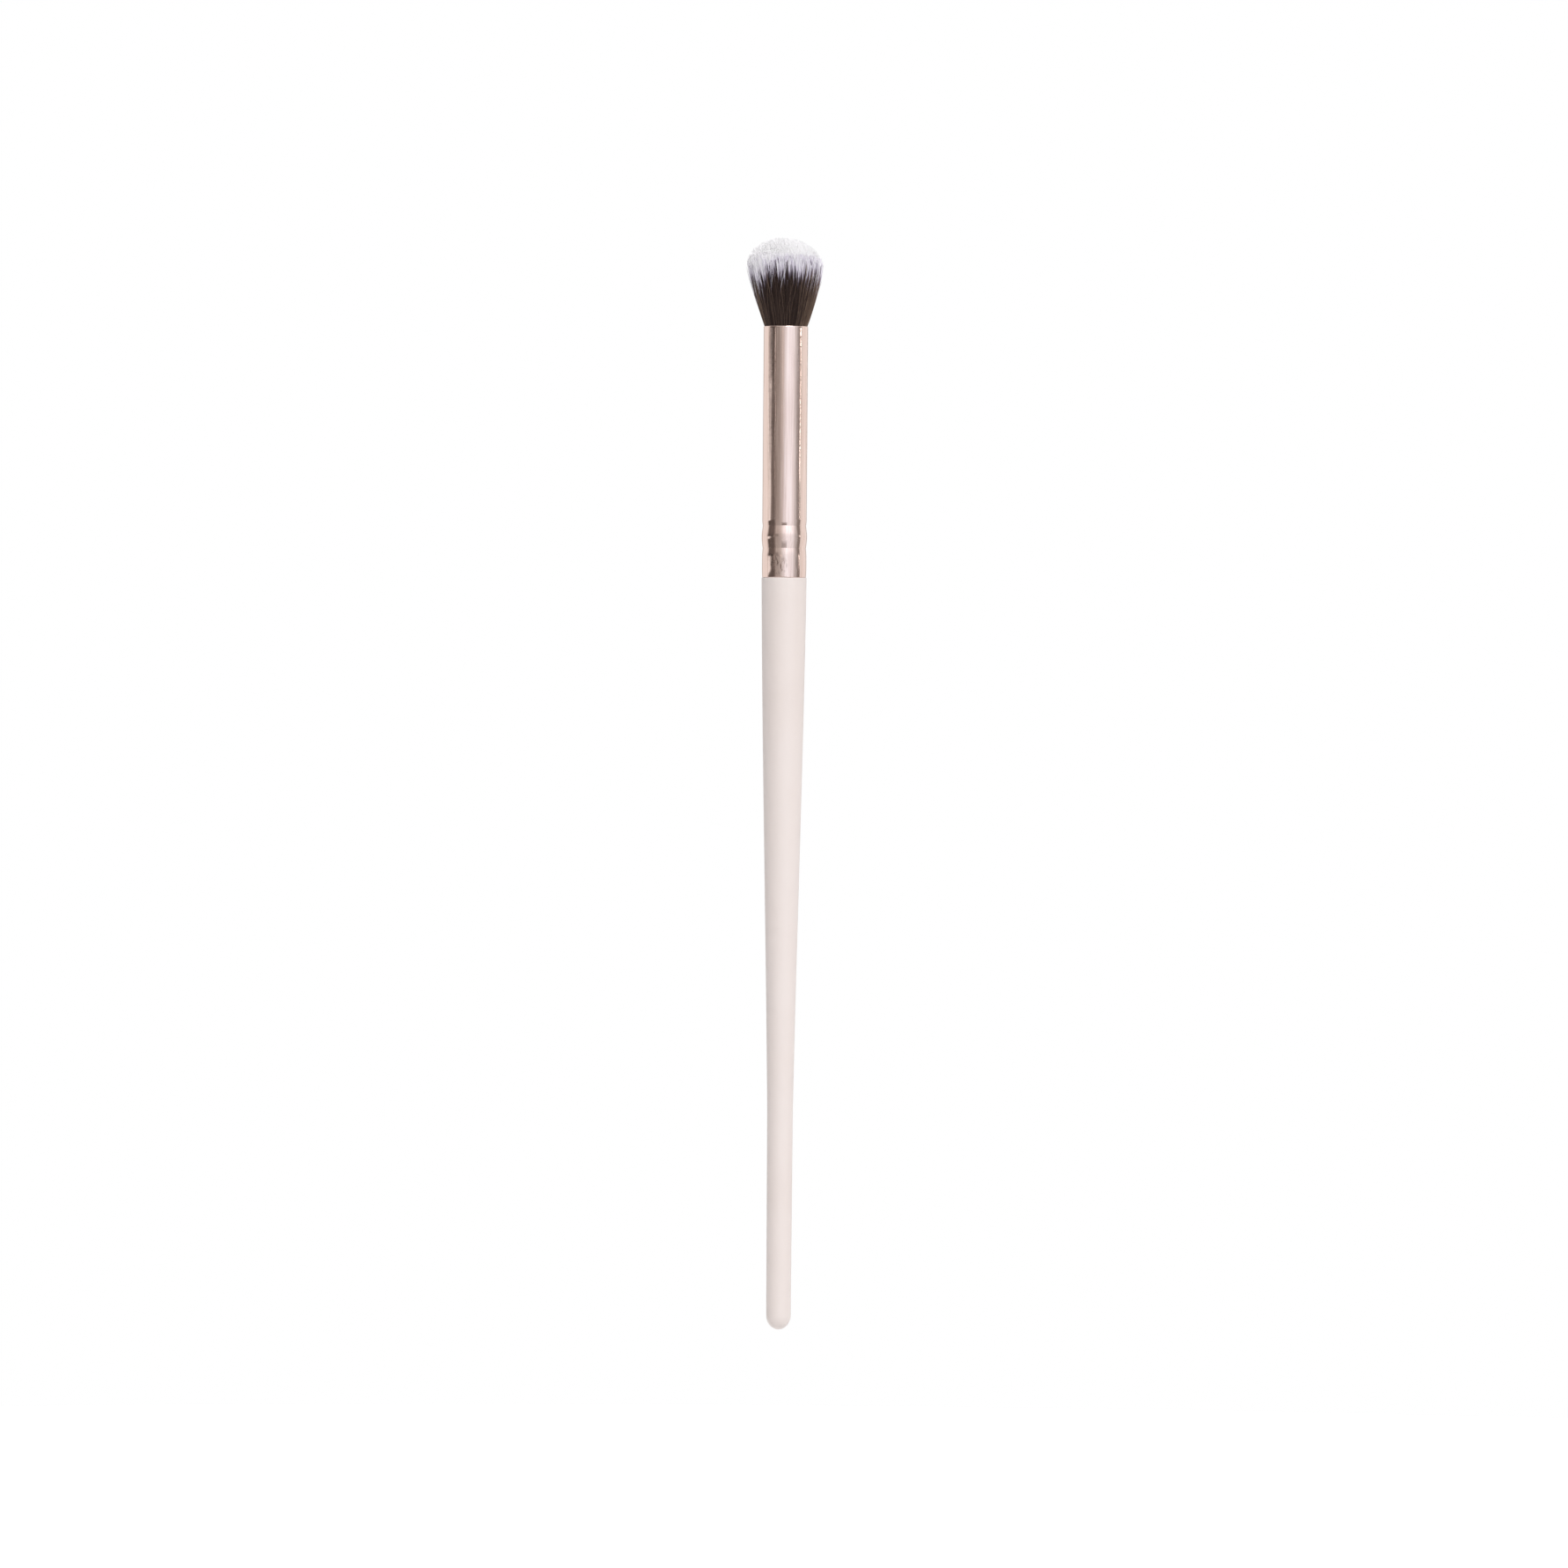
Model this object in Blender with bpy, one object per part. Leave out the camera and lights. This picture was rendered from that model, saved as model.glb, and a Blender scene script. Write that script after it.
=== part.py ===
"""Blending brush for eye make-up: a turned handle, a crimped metal ferrule and a domed two-tone tuft.

Metres, +Z up, along the brush from its tail to its tuft. The origin is the tail's lowest point.
The handle's tenon stands inside the ferrule, and the fibres' roots are set in resin above it.
"""

import math
import random

import bmesh
import bpy
from mathutils import Vector
from mathutils.geometry import delaunay_2d_cdt

# Handle: turned and lacquered
HANDLE_LENGTH = 0.1205  # tail to shoulder
HANDLE_TOP_RADIUS = 0.00361
SLIM_LENGTH = 0.035  # the nearly even stretch above the tail
SLIM_RADIUS = 0.00206  # where that stretch meets the taper
TAIL_RADIUS = 0.00197  # where that stretch meets the round end
TAIL_ROUND_HEIGHT = 0.0023
SHOULDER_ROUND = 0.0003
TENON_LENGTH = 0.0175
TENON_CHAMFER = 0.0006
TAPER_START_SLOPE_SHARE = 0.8  # of the taper's mean slope
TAPER_END_SLOPE_SHARE = 0.55

# Ferrule: a drawn tube, pressed into the tenon along two grooves with a low bead between them
FERRULE_LENGTH = 0.0403
FERRULE_RADIUS = 0.00358
FERRULE_WALL = 0.00025
CRIMP_HEIGHT = 0.0047  # lower groove above the ferrule's lower end
CRIMP_PITCH = 0.0037
CRIMP_DEPTH = 0.0001
CRIMP_BEAD = 0.00006  # how far the bead stands proud of the tube
CRIMP_LEAD = 0.001  # the slope below the lower groove
CRIMP_RUNOUT = 0.0003  # the short wall above the upper groove
GLUE_LINE = 0.0001  # film of glue between pieces that seat on each other

# Glued roots: the fibres' lower ends, set in resin
ROOTS_LENGTH = 0.0095
ROOTS_CHAMFER = 0.0005

# Tuft: strands of fibre, each one standing for a lock of some fifteen fibres
STRAND_COUNT = 336
BACKING_RECESS = 0.00015  # the backing's face lies this far inside the mouth
BACKING_THICKNESS = 0.0012
BACKING_MARGIN = 0.00006  # between the outer strands and the backing's edge
TUFT_RADIUS = 0.00624  # of the flare at the belly, where the outer strands come to their points
BELLY_HEIGHT = 0.0097  # of the widest place, above the mouth
DOME_HEIGHT = 0.0045  # of the trimmed dome, above the belly
SPLAY_HEIGHT = 0.001  # up to here the fibres bulge over the rim
SPLAY_RADIUS = 0.00388
DYE_HEIGHT = 0.0088  # where the dark dye ends and the white tips begin
DYE_UNEVENNESS = 0.0007
DYE_TO_TIP = 0.0004  # least white on the shortest strands
TIP_UNEVENNESS = 0.00012
FLARE_SWELL_SHARE = 0.33  # how far the flare bows out from a straight cone
ROOT_FILL_SHARE = 0.8  # strand radius as a share of the spacing, here and in the next two
BODY_FILL_SHARE = 0.76
POINT_FILL_SHARE = 0.6
POINT_START_SHARE = 0.84  # of the white length, where a strand starts to come to its point
TUFT_SEED = 7

# Fineness of the turned pieces
SIDES = 48
TAPER_STEPS = 12
TAIL_STEPS = 6
CRIMP_STEPS = 6
ROUND_STEPS = 4
STRAND_SIDES = 3
MERGE_DISTANCE = 0.000001

# Places that follow from the sizes above
FERRULE_START = HANDLE_LENGTH + GLUE_LINE
MOUTH = FERRULE_START + FERRULE_LENGTH
BORE_RADIUS = FERRULE_RADIUS - FERRULE_WALL
SEATED_RADIUS = BORE_RADIUS - GLUE_LINE
BACKING_TOP = MOUTH - BACKING_RECESS
BACKING_BOTTOM = BACKING_TOP - BACKING_THICKNESS


def clear_scene():
    for item in list(bpy.data.objects):
        bpy.data.objects.remove(item, do_unlink=True)


def finish(name, colour, roughness, metallic=0.0):
    material = bpy.data.materials.new(name)
    material.use_nodes = True
    shader = material.node_tree.nodes["Principled BSDF"]
    shader.inputs["Base Color"].default_value = (*colour, 1)
    shader.inputs["Roughness"].default_value = roughness
    shader.inputs["Metallic"].default_value = metallic
    return material


def place(name, bm, materials):
    """Closes a bmesh into an object of the scene."""
    bmesh.ops.recalc_face_normals(bm, faces=bm.faces)
    mesh = bpy.data.meshes.new(name)
    bm.to_mesh(mesh)
    bm.free()
    for material in materials:
        mesh.materials.append(material)
    piece = bpy.data.objects.new(name, mesh)
    bpy.context.scene.collection.objects.link(piece)
    return piece


def turned(name, outline, material, closed=False):
    """Spins an outline of (radius, height) points round the brush's axis."""
    bm = bmesh.new()
    points = [bm.verts.new((radius, 0, height)) for radius, height in outline]
    for start, end in zip(points, points[1:]):
        bm.edges.new((start, end))
    if closed:
        bm.edges.new((points[-1], points[0]))
    bmesh.ops.spin(
        bm,
        geom=bm.verts[:] + bm.edges[:],
        axis=(0, 0, 1),
        cent=(0, 0, 0),
        angle=math.tau,
        steps=SIDES,
        use_merge=True,
    )
    bmesh.ops.remove_doubles(bm, verts=bm.verts, dist=MERGE_DISTANCE)
    piece = place(name, bm, [material])
    piece.data.shade_smooth()
    piece.data.set_sharp_from_angle(angle=math.radians(35))
    return piece


def arc(centre, size, start, end, steps):
    """Points of an elliptical arc, from the start angle to the end angle in degrees."""
    points = []
    for step in range(steps + 1):
        angle = math.radians(start + (end - start) * step / steps)
        points.append((centre[0] + size[0] * math.cos(angle), centre[1] + size[1] * math.sin(angle)))
    return points


def taper():
    """The handle's long taper, a cubic that leaves the slim stretch and meets the shoulder at set slopes."""
    rise = HANDLE_LENGTH - SHOULDER_ROUND - SLIM_LENGTH
    growth = HANDLE_TOP_RADIUS - SLIM_RADIUS
    start, end = TAPER_START_SLOPE_SHARE, TAPER_END_SLOPE_SHARE
    points = []
    for step in range(TAPER_STEPS + 1):
        share = step / TAPER_STEPS
        grown = start * share + (3 - 2 * start - end) * share**2 + (start + end - 2) * share**3
        points.append((SLIM_RADIUS + growth * grown, SLIM_LENGTH + rise * share))
    return points


def crimp(radius):
    """The pressed stretch of a wall whose plain radius is given: groove, bead, groove."""
    lower = FERRULE_START + CRIMP_HEIGHT
    points = [(radius, lower - CRIMP_LEAD)]
    for step in range(CRIMP_STEPS + 1):
        share = step / CRIMP_STEPS
        bead = (CRIMP_DEPTH + CRIMP_BEAD) * math.sin(math.pi * share)
        points.append((radius - CRIMP_DEPTH + bead, lower + CRIMP_PITCH * share))
    points.append((radius, lower + CRIMP_PITCH + CRIMP_RUNOUT))
    return points


def make_handle():
    tenon_top = HANDLE_LENGTH + TENON_LENGTH
    outline = [(0, 0)]
    outline += arc((0, TAIL_ROUND_HEIGHT), (TAIL_RADIUS, TAIL_ROUND_HEIGHT), -90, 0, TAIL_STEPS)[1:]
    outline += taper()
    shoulder = (HANDLE_TOP_RADIUS - SHOULDER_ROUND, HANDLE_LENGTH - SHOULDER_ROUND)
    outline += arc(shoulder, (SHOULDER_ROUND, SHOULDER_ROUND), 0, 90, ROUND_STEPS)[1:]
    outline.append((SEATED_RADIUS, HANDLE_LENGTH))
    outline += crimp(SEATED_RADIUS)
    outline.append((SEATED_RADIUS, tenon_top - TENON_CHAMFER))
    outline.append((SEATED_RADIUS - TENON_CHAMFER, tenon_top))
    outline.append((0, tenon_top))
    return turned("handle", outline, finish("satin cream lacquer", (0.78, 0.71, 0.67), 0.38))


def make_ferrule():
    edge = FERRULE_WALL / 2
    middle = FERRULE_RADIUS - edge
    outline = arc((middle, FERRULE_START + edge), (edge, edge), -180, 0, ROUND_STEPS)
    outline += crimp(FERRULE_RADIUS)
    outline += arc((middle, MOUTH - edge), (edge, edge), 0, 180, ROUND_STEPS)
    outline += reversed(crimp(BORE_RADIUS))
    metal = finish("champagne anodised aluminium", (0.82, 0.68, 0.6), 0.2, metallic=1.0)
    return turned("ferrule", outline, metal, closed=True)


def make_glued_roots():
    top = BACKING_BOTTOM - GLUE_LINE
    bottom = top - ROOTS_LENGTH
    outline = [
        (0, bottom),
        (SEATED_RADIUS - ROOTS_CHAMFER, bottom),
        (SEATED_RADIUS, bottom + ROOTS_CHAMFER),
        (SEATED_RADIUS, top),
        (0, top),
    ]
    return turned("glued_roots", outline, finish("set resin", (0.3, 0.2, 0.12), 0.3))


def bundle_radius(height):
    """Radius of the circle that holds the strands' centre lines, at a height above the mouth."""
    spacing = 1 / math.sqrt(STRAND_COUNT)
    at_root = (SEATED_RADIUS - BACKING_MARGIN) / (1 + ROOT_FILL_SHARE * spacing)
    at_splay = SPLAY_RADIUS / (1 + BODY_FILL_SHARE * spacing)
    at_belly = TUFT_RADIUS / (1 + BODY_FILL_SHARE * spacing)
    if height < SPLAY_HEIGHT:
        rise = (height + BACKING_RECESS) / (SPLAY_HEIGHT + BACKING_RECESS)
        return at_root + (at_splay - at_root) * rise
    rise = min((height - SPLAY_HEIGHT) / (BELLY_HEIGHT - SPLAY_HEIGHT), 1)
    opened = rise + FLARE_SWELL_SHARE * rise * (1 - rise)
    return at_splay + (at_belly - at_splay) * opened


def strand_rings(share, uneven):
    """Heights above the mouth and fill shares of one strand's rings, and the height of its tip.

    The share is the strand's place between the tuft's axis, 0, and its outside, 1.
    """
    tip = BELLY_HEIGHT + DOME_HEIGHT * math.sqrt(1 - share**2) - TIP_UNEVENNESS * uneven.random()
    dye = min(DYE_HEIGHT + DYE_UNEVENNESS * uneven.uniform(-1, 1), tip - DYE_TO_TIP)
    point = dye + (tip - dye) * POINT_START_SHARE
    rings = [
        (-BACKING_RECESS, ROOT_FILL_SHARE),
        (SPLAY_HEIGHT, BODY_FILL_SHARE),
        (dye, BODY_FILL_SHARE),
        (point, POINT_FILL_SHARE),
    ]
    return rings, tip


def grow_strand(bm, share, bearing, uneven):
    """Adds one strand's walls, and returns its open root ring."""
    rings, tip = strand_rings(share, uneven)
    twist = uneven.uniform(0, math.tau)
    below = root = None
    for level, (height, fill) in enumerate(rings):
        bundle = bundle_radius(height)
        radius = fill * bundle / math.sqrt(STRAND_COUNT)
        centre = Vector((math.cos(bearing), math.sin(bearing))) * share * bundle
        ring = []
        for side in range(STRAND_SIDES):
            angle = twist + math.tau * side / STRAND_SIDES
            across = centre + Vector((math.cos(angle), math.sin(angle))) * radius
            ring.append(bm.verts.new((*across, MOUTH + height)))
        if below is None:
            root = ring
        else:
            for side in range(STRAND_SIDES):
                after = (side + 1) % STRAND_SIDES
                wall = bm.faces.new((below[side], below[after], ring[after], ring[side]))
                wall.material_index = int(level == len(rings) - 1)
        below = ring
    centre = Vector((math.cos(bearing), math.sin(bearing))) * share * bundle_radius(tip)
    point = bm.verts.new((*centre, MOUTH + tip))
    for side in range(STRAND_SIDES):
        bm.faces.new((below[side], below[(side + 1) % STRAND_SIDES], point)).material_index = 1
    return root


def fill_backing(bm, roots):
    """Closes the backing slice: its face between the strands, its rim and its underside."""
    rim = []
    for side in range(SIDES):
        angle = math.tau * side / SIDES
        across = Vector((math.cos(angle), math.sin(angle))) * SEATED_RADIUS
        rim.append(bm.verts.new((*across, BACKING_TOP)))
    corners = [corner for ring in (rim, *roots) for corner in ring]
    owner = [number for number, ring in enumerate((rim, *roots)) for corner in ring]
    borders = []
    first = 0
    for ring in (rim, *roots):
        borders += [(first + side, first + (side + 1) % len(ring)) for side in range(len(ring))]
        first += len(ring)
    flat = [Vector((corner.co.x, corner.co.y)) / SEATED_RADIUS for corner in corners]
    triangles = delaunay_2d_cdt(flat, borders, [], 0, 0.000001)[2]
    for triangle in triangles:
        owners = {owner[corner] for corner in triangle}
        if len(owners) > 1 or owners == {0}:
            bm.faces.new([corners[corner] for corner in triangle])
    drop = Vector((0, 0, BACKING_BOTTOM - BACKING_TOP))
    under = [bm.verts.new(corner.co + drop) for corner in rim]
    for side in range(SIDES):
        after = (side + 1) % SIDES
        bm.faces.new((under[side], under[after], rim[after], rim[side]))
    bm.faces.new(under)


def make_bristles():
    """The tuft: strands on a golden spiral, which spreads them evenly, fused to a slice of their backing.

    All strands follow one flare, each at its own share of the radius, so no two of them cross.
    """
    uneven = random.Random(TUFT_SEED)
    golden_angle = math.pi * (3 - math.sqrt(5))
    bm = bmesh.new()
    roots = []
    for number in range(STRAND_COUNT):
        share = math.sqrt((number + 0.5) / STRAND_COUNT)
        roots.append(grow_strand(bm, share, number * golden_angle, uneven))
    fill_backing(bm, roots)
    dark = finish("dark dyed fibre", (0.04, 0.022, 0.018), 0.55)
    white = finish("white fibre tips", (0.8, 0.76, 0.84), 0.6)
    return place("bristles", bm, [dark, white])


clear_scene()
make_handle()
make_ferrule()
make_glued_roots()
make_bristles()
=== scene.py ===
# %% [markdown]
# # A blending brush, dressed for its picture
# The brush is four things: a turned and lacquered wooden handle, a drawn aluminium ferrule crimped
# over the handle's tenon, a plug of set resin that nobody sees, and a tuft of many thousand fine
# filaments, dyed dark below and left white at the tips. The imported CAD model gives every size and
# place, and this lesson lays finer pieces and real finishes over it. Everything is in metres.

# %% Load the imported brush
import math

import bpy
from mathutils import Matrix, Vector


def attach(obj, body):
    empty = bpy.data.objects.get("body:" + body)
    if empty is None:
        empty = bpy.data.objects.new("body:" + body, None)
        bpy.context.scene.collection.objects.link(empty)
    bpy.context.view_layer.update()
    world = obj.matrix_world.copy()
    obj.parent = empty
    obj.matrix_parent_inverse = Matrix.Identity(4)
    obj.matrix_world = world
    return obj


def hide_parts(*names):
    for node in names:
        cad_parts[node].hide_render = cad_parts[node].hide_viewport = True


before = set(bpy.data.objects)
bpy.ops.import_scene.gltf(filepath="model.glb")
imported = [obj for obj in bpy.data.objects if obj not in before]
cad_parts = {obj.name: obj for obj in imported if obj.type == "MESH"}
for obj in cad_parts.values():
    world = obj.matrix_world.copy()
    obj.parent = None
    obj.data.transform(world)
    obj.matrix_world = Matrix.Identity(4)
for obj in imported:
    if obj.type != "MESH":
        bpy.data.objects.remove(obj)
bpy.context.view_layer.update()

# %% [markdown]
# Every size below is one that the CAD part was built from, so a finer piece sits exactly where its
# plain solid sits. Heights are measured from the round tail, up the brush's own axis.

# %% Sizes shared with the CAD part
MM = 0.001
HANDLE_LENGTH = 120.5 * MM
FERRULE_START = 120.6 * MM
MOUTH = 160.9 * MM
SEATED_RADIUS = 3.23 * MM

# %% [markdown]
# Colours are easiest to judge as the hex values that a paint program shows, but Blender's shaders
# work in linear light, so one function turns the first into the second. A second small function adds
# a node, sets it up and wires it in one line, which keeps every node tree below short enough to read.

# %% Helpers for colours and nodes
MATH, VECTOR, RANGE = "ShaderNodeMath", "ShaderNodeVectorMath", "ShaderNodeMapRange"


def linear(hex_colour):
    """Linear RGBA of an sRGB hex colour."""
    parts = [int(hex_colour[start : start + 2], 16) / 255 for start in (1, 3, 5)]
    return (*[p / 12.92 if p <= 0.04045 else ((p + 0.055) / 1.055) ** 2.4 for p in parts], 1)


def add(tree, kind, *feeds, stops=(), **named):
    """Adds a node. Feeds fill its inputs in order. A name in small letters sets a property, and one
    with a capital feeds the input of that name. What feeds an input is a value, a node or a socket.
    Stops are the (place, hex colour) pairs of a colour ramp."""
    node = tree.nodes.new(kind)
    for name, value in named.items():
        if name[0].islower():
            setattr(node, name, value)
    for number, (place, colour) in enumerate(stops):
        elements = node.color_ramp.elements
        element = elements[number] if number < len(elements) else elements.new(place)
        element.position = place
        element.color = linear(colour)
    sockets = [socket for socket in node.inputs if socket.enabled]
    wired = list(zip(sockets, feeds))
    for name, value in named.items():
        if name[0].isupper():
            wired.append((next(s for s in sockets if s.name == name.replace("_", " ")), value))
    for socket, value in wired:
        if isinstance(value, bpy.types.Node):
            value = next(output for output in value.outputs if output.enabled)
        if isinstance(value, bpy.types.NodeSocket):
            tree.links.new(value, socket)
        else:
            socket.default_value = value
    return node


def blank_material(name):
    """A new material with an empty node tree."""
    material = bpy.data.materials.new(name)
    material.use_nodes = True
    material.node_tree.nodes.clear()
    return material, material.node_tree


WHITE = linear("#ffffff")
print("cream as linear light:", [round(c, 3) for c in linear("#e8dcd7")])

# %% [markdown]
# The picture is taken from straight in front, level with the middle of the brush, with a long lens
# that hardly shows any perspective. The brush leans under half a degree to the right in its picture,
# so the camera is rolled by that much instead: the brush itself stays true to its axis.

# %% Camera
PICTURE_PIXELS = 1780
PIXEL_IN_MM = 0.1413
PICTURE_HEIGHT = PICTURE_PIXELS * PIXEL_IN_MM * MM
LENS_DISTANCE = 1.8
SENSOR_WIDTH = 36
CAMERA_RIGHT = 0.24 * MM
CAMERA_HEIGHT = 87.5 * MM
CAMERA_ROLL = -0.44
camera_data = bpy.data.cameras.new("product_camera")
camera_data.sensor_width = SENSOR_WIDTH
camera_data.lens = SENSOR_WIDTH * LENS_DISTANCE / PICTURE_HEIGHT
camera = bpy.data.objects.new("product_camera", camera_data)
camera.location = (CAMERA_RIGHT, -LENS_DISTANCE, CAMERA_HEIGHT)
camera.rotation_euler = (math.radians(90), math.radians(CAMERA_ROLL), 0)
bpy.context.collection.objects.link(camera)
bpy.context.scene.camera = camera
bpy.context.scene.view_settings.view_transform = "Standard"
print("lens", round(camera_data.lens), "mm at", LENS_DISTANCE, "m")

# %% [markdown]
# The studio is a white room. What the camera, the metal and any clear thing see of it is plain white
# at strength 1. What lights the dull surfaces is only half as strong, because the lamps of the next
# cell add the rest.

# %% White room
ROOM_LIGHT = 0.5
BACKDROP = 1.0
BOUNCES = 24


def seen_directly(tree):
    """1 for what the camera, a mirror-like surface or a clear thing sees, 0 for dull surfaces."""
    rays = add(tree, "ShaderNodeLightPath").outputs
    seen = add(tree, MATH, rays["Is Camera Ray"], rays["Is Glossy Ray"], operation="MAXIMUM")
    return add(tree, MATH, seen, rays["Is Transmission Ray"], operation="MAXIMUM")


world = bpy.data.worlds.new("white_room")
bpy.context.scene.world = world
world.use_nodes = True
tree = world.node_tree
tree.nodes.clear()
lighting = add(tree, "ShaderNodeBackground", WHITE, ROOM_LIGHT)
backdrop = add(tree, "ShaderNodeBackground", WHITE, BACKDROP)
room = add(tree, "ShaderNodeMixShader", seen_directly(tree), lighting, backdrop)
add(tree, "ShaderNodeOutputWorld", room)
# Light goes from one white tip to the next many times before it comes out of the tuft again.
cycles = bpy.context.scene.cycles
cycles.max_bounces = BOUNCES
cycles.diffuse_bounces = BOUNCES
cycles.transmission_bounces = BOUNCES
print("room light", ROOM_LIGHT, "and backdrop", BACKDROP, "with", BOUNCES, "bounces")

# %% [markdown]
# A soft key lamp from the front right models the handle: its left edge falls into shade and its right
# side stays even. A weak fill at the right and a lamp behind light the sides that it doesn't reach.
# The fourth lamp has a snoot, so it reaches the tuft alone and lifts its pale tips. The fill is kept
# out of mirror-like surfaces, because the crimp would mirror it as a hard white block, and so is the
# back lamp.

# %% Lamps
LAMP_DISTANCE = 1.6
LAMP_SIZE = 0.7
AIMED_AT = Vector((0, 0, 90 * MM))


def soft_lamp(name, bearing, rise, energy):
    """A soft lamp aimed at the brush. Its bearing is counted to the right from straight in front."""
    data = bpy.data.lights.new(name, "AREA")
    data.size = LAMP_SIZE
    data.energy = energy
    lamp = bpy.data.objects.new(name, data)
    turn, lift = math.radians(bearing), math.radians(rise)
    level_share = math.cos(lift)
    towards = Vector((math.sin(turn) * level_share, -math.cos(turn) * level_share, math.sin(lift)))
    lamp.location = AIMED_AT + towards * LAMP_DISTANCE
    lamp.rotation_euler = towards.to_track_quat("Z", "Y").to_euler()
    bpy.context.collection.objects.link(lamp)
    print(name, energy, "W at", [round(c, 2) for c in lamp.location])
    return lamp


soft_lamp("soft_key", 18, 42, 14.9)
fill = soft_lamp("soft_fill", 100, 20, 2.6)
fill.visible_glossy = False
back = soft_lamp("soft_back", -165, 30, 9.5)
back.visible_glossy = False
snooted = soft_lamp("snooted_top", -65, 65, 12)
snooted.light_linking.receiver_collection = bpy.data.collections.new("lit_by_snooted_top")

# %% [markdown]
# The floor is a pale disc just below the picture's edge, because the brush is held and not stood up.
# It is an ordinary dull white that takes the brush's soft shadow. For the camera and for mirror-like
# surfaces it also gives off just enough light to meet the white of the room without an edge.

# %% Floor
FLOOR_RADIUS = 0.5
FLOOR_HEIGHT = -0.04
FLOOR_SIDES = 96
FLOOR_GLOW = 0.5


def staged(name, points, faces, material):
    """A mesh that belongs to the studio and not to the brush."""
    mesh = bpy.data.meshes.new(name)
    mesh.from_pydata(points, [], faces)
    mesh.materials.append(material)
    prop = bpy.data.objects.new(name, mesh)
    bpy.context.collection.objects.link(prop)
    return prop


paper, tree = blank_material("matt white paper sweep")
raised = add(tree, MATH, seen_directly(tree), FLOOR_GLOW, operation="MULTIPLY")
dull = add(tree, "ShaderNodeBsdfDiffuse", linear("#e9e9e9"))
glow = add(tree, "ShaderNodeEmission", WHITE, raised)
add(tree, "ShaderNodeOutputMaterial", add(tree, "ShaderNodeAddShader", dull, glow))
rim = []
for number in range(FLOOR_SIDES):
    turn = math.tau * number / FLOOR_SIDES
    rim.append((FLOOR_RADIUS * math.cos(turn), FLOOR_RADIUS * math.sin(turn), FLOOR_HEIGHT))
staged("floor", rim, [range(FLOOR_SIDES)], paper)
print("floor", FLOOR_RADIUS, "m in radius")

# %% [markdown]
# Polished metal has hardly any look of its own: it shows what stands round it. So a photographer
# bends a screen round the front of a ferrule, with a black flag at one side, grey card, a soft box
# and a slit of bare light. Only mirror-like surfaces see this one, and the lens never does.

# %% Screen that the ferrule mirrors
SCREEN_RADIUS = 2.3
PANELS = [  # bearing in degrees, level, tint
    (-96, 0.12, "#fff0ea"),
    (-60, 0.13, "#fff0ea"),
    (-52, 0.2, "#fff0ea"),
    (-46, 0.42, "#fffaf6"),
    (-26, 0.46, "#fffcfa"),
    (-12, 0.7, "#fbfcff"),
    (1, 1.08, "#f1f6ff"),
    (11, 1.4, "#e9f2fd"),
    (28, 1.38, "#e9f2fd"),
    (43, 1.18, "#eff6ff"),
    (52, 0.86, "#f4f8ff"),
    (62, 0.57, "#f8faff"),
    (73, 0.42, "#ffffff"),
    (80, 0.46, "#ffffff"),
    (85, 0.8, "#ffffff"),
    (94, 0.9, "#ffffff"),
    (106, 0.98, "#ffffff"),
]
leftmost, rightmost = PANELS[0][0], PANELS[-1][0]
strongest = max(level for _, level, _ in PANELS)
cards, tree = blank_material("lit screen with flag and soft box")
spot = add(tree, "ShaderNodeSeparateXYZ", add(tree, "ShaderNodeTexCoord").outputs["Object"]).outputs
ahead = add(tree, MATH, spot["Y"], -1.0, operation="MULTIPLY")
around = add(tree, MATH, add(tree, MATH, spot["X"], ahead, operation="ARCTAN2"), operation="DEGREES")
across = add(tree, RANGE, around, float(leftmost), float(rightmost))
# Overhead the screen is brighter, apart from its right end.
overhead = add(tree, RANGE, spot["Z"], 0.3, 0.75, 0.0, 0.35 * strongest)
inside = add(tree, RANGE, around, 55.0, 75.0, 1.0, 0.0)
brightness = add(tree, MATH, overhead, inside, strongest, operation="MULTIPLY_ADD")
tints = [((bearing - leftmost) / (rightmost - leftmost), tint) for bearing, _, tint in PANELS]
panel = add(tree, "ShaderNodeValToRGB", across, stops=tints)
for element, (_, level, _) in zip(panel.color_ramp.elements, PANELS):
    element.color = [channel * level / strongest for channel in element.color]
# The flag's free edge is thin gauze, which lets some of the room through.
within = add(tree, "ShaderNodeAttribute", attribute_name="from_edge").outputs["Fac"]
gauze = add(tree, RANGE, within, 0.0, 9.0, 0.55, 0.0, interpolation_type="SMOOTHSTEP")
panel_light = add(tree, "ShaderNodeEmission", panel, brightness)
room_light = add(tree, "ShaderNodeEmission", WHITE, gauze)
add(tree, "ShaderNodeOutputMaterial", add(tree, "ShaderNodeAddShader", panel_light, room_light))
# The flag reaches further round above and below than it does behind the middle of the ferrule.
LEFT_EDGE = [  # height in metres, bearing in degrees
    (-1.2, -98),
    (0.0, -98),
    (0.1, -77),
    (0.19, -76),
    (0.22, -77),
    (0.236, -104),
    (0.35, -96),
    (2.3, -96),
]
COLUMNS = 80
sheet, faces, distances = [], [], []
for row, (height, edge) in enumerate(LEFT_EDGE):
    for column in range(COLUMNS + 1):
        from_edge = (rightmost - edge) * column / COLUMNS
        turn = math.radians(edge + from_edge)
        sheet.append((SCREEN_RADIUS * math.sin(turn), -SCREEN_RADIUS * math.cos(turn), height))
        distances.append(from_edge)
    for column in range(COLUMNS * bool(row)):
        corner = row * (COLUMNS + 1) + column
        faces.append((corner - COLUMNS - 1, corner - COLUMNS, corner + 1, corner))
screen = staged("screen", sheet, faces, cards)
screen.data.attributes.new("from_edge", "FLOAT", "POINT").data.foreach_set("value", distances)
mirrored = [screen]
print("screen of", len(PANELS), "stops and", len(faces), "faces")

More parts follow.
